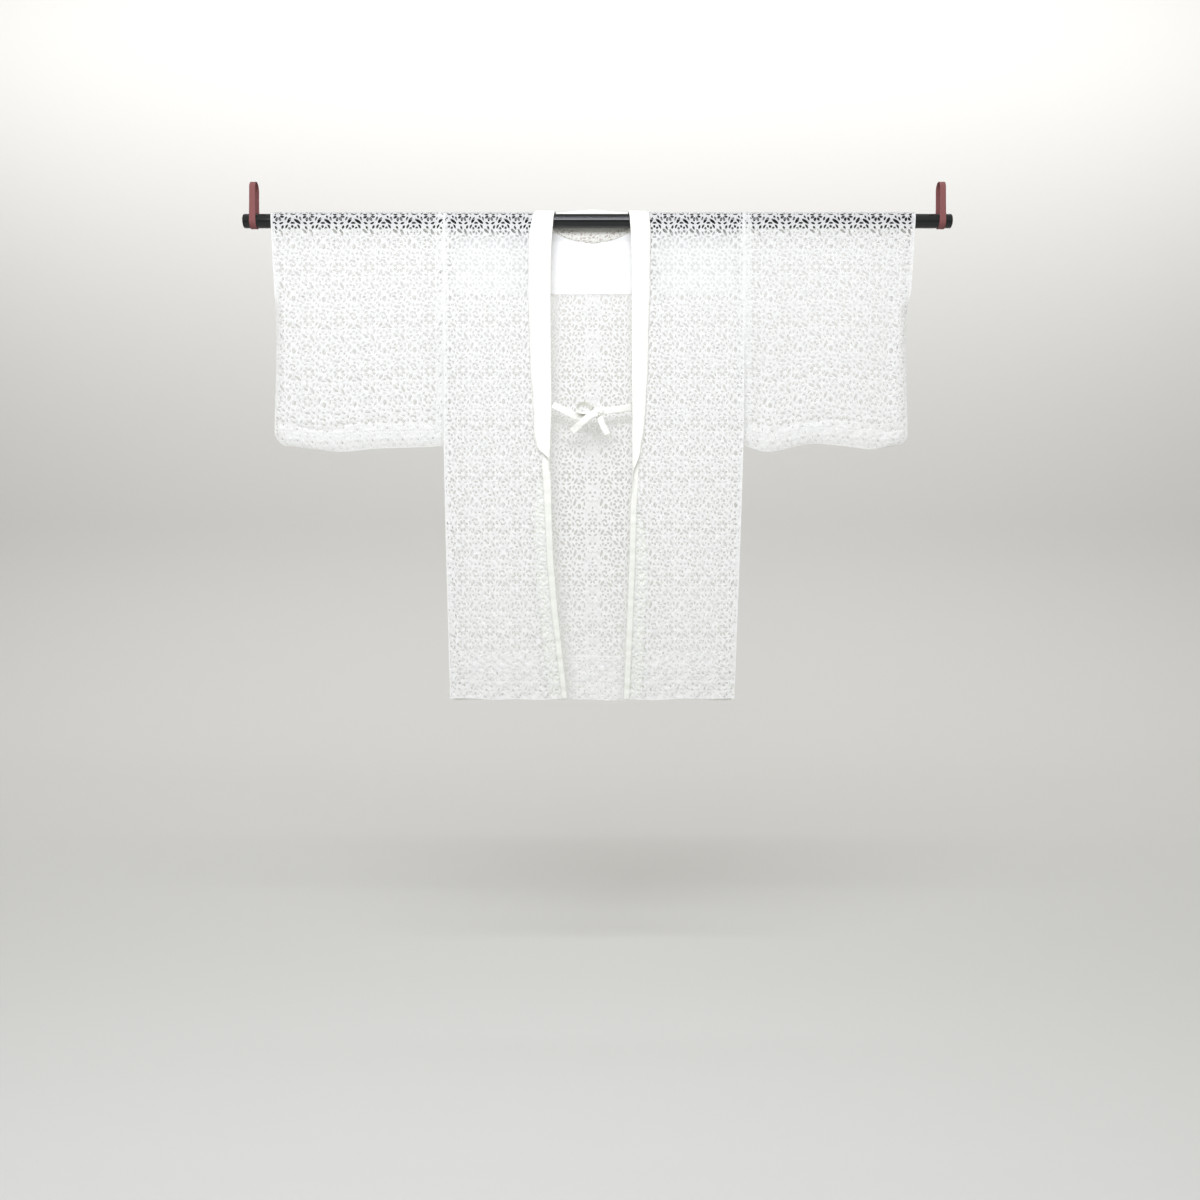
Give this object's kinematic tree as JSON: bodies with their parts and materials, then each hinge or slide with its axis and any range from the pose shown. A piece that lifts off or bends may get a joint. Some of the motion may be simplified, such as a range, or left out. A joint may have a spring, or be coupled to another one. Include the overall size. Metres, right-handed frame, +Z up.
{
  "type": "haori on a hanging rod",
  "caption": "White floral lace haori with a plain folded collar and a loosely tied cord of the same lace, hanging flat over a black rod carried by two tape loops.",
  "frame": {"origin": "midway between the inner crowns of the two tape loops, where a beam or a pair of hooks carries them", "axes": "+Z up; +X along the rod, to the viewer's right in front of the haori; the front of the haori faces -Y"},
  "size_m": [1.457, 0.0814, 1.0684],
  "materials": {
    "lace": "white cotton lace, matt",
    "collar": "doubled off-white lace over plain cloth, matt",
    "lining": "plain white lining, slight sheen",
    "lacquer": "black gloss lacquer",
    "tape": "reddish-brown woven tape, matt"
  },
  "bodies": {
    "root": {"back_left": "lace", "back_right": "lace", "collar_back": "collar", "collar_left": "collar", "collar_right": "collar", "front_left": "lace", "front_right": "lace", "gusset_left": "lace", "gusset_right": "lace", "hem_back_left": "lace", "hem_back_right": "lace", "hem_front_left": "lace", "hem_front_right": "lace", "loop_left": "tape", "loop_right": "tape", "rod": "lacquer", "sleeve_left_allowance": "lace", "sleeve_left_back": "lace", "sleeve_left_front": "lace", "sleeve_right_allowance": "lace", "sleeve_right_back": "lace", "sleeve_right_front": "lace", "tie_bow": "collar", "tie_knot": "collar", "tie_left": "collar", "tie_right": "collar", "tie_tail_long": "collar", "tie_tail_short": "collar", "yoke_left": "lining", "yoke_right": "lining"}
  },
  "joints": []
}
